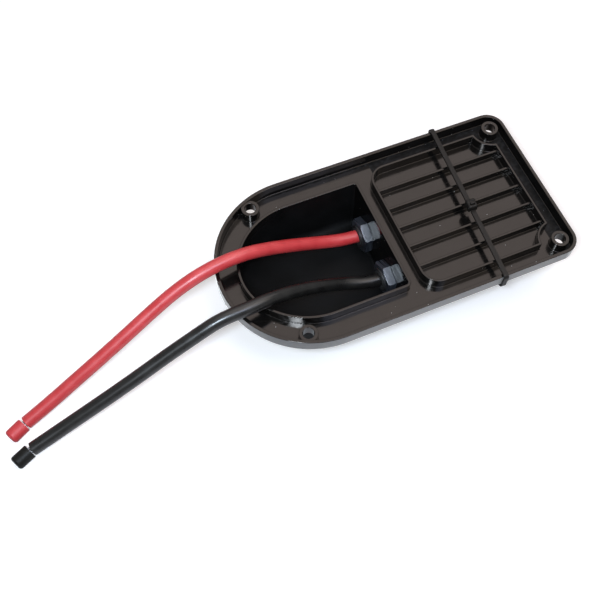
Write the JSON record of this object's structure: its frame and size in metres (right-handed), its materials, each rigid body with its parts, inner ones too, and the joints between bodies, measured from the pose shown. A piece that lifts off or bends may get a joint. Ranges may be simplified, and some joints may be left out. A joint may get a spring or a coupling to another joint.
{
  "type": "solar cable entry plate",
  "caption": "Moulded roof cable entry plate with a ribbed back and a hood whose end wall holds panel connectors, shown with its short cable tails and cable tie.",
  "frame": {"origin": "middle of the plate's length and width, on the mounting plane that the top of the back rim lies in", "axes": "+Z out of the back, along the screws; +X along the plate from the hood's arched end to the ribbed end; the part lies on the hood's roof, back up"},
  "size_m": [0.277, 0.091, 0.0415],
  "materials": {
    "plate_plastic": "gloss black moulded plastic",
    "connector_plastic": "fine textured black plastic",
    "nut_plastic": "satin black plastic",
    "seal_rubber": "matt black rubber",
    "contact_metal": "bright tin plate",
    "red_insulation": "satin red cable insulation",
    "black_insulation": "satin black cable insulation",
    "conductor": "tinned strand",
    "tie_nylon": "black nylon"
  },
  "bodies": {
    "root": {"entry_plate": "plate_plastic", "red_connector": "connector_plastic", "black_connector": "connector_plastic", "red_nut": "nut_plastic", "black_nut": "nut_plastic", "red_seal_ring": "seal_rubber", "black_seal_ring": "seal_rubber", "black_packing": "seal_rubber", "red_bush": "seal_rubber", "black_bush": "seal_rubber", "red_contact": "contact_metal", "black_contact": "contact_metal", "red_cable": "red_insulation", "black_cable": "black_insulation", "red_end_sleeve": "red_insulation", "black_end_sleeve": "black_insulation", "red_core": "conductor", "black_core": "conductor", "cable_tie": "tie_nylon"}
  },
  "joints": []
}
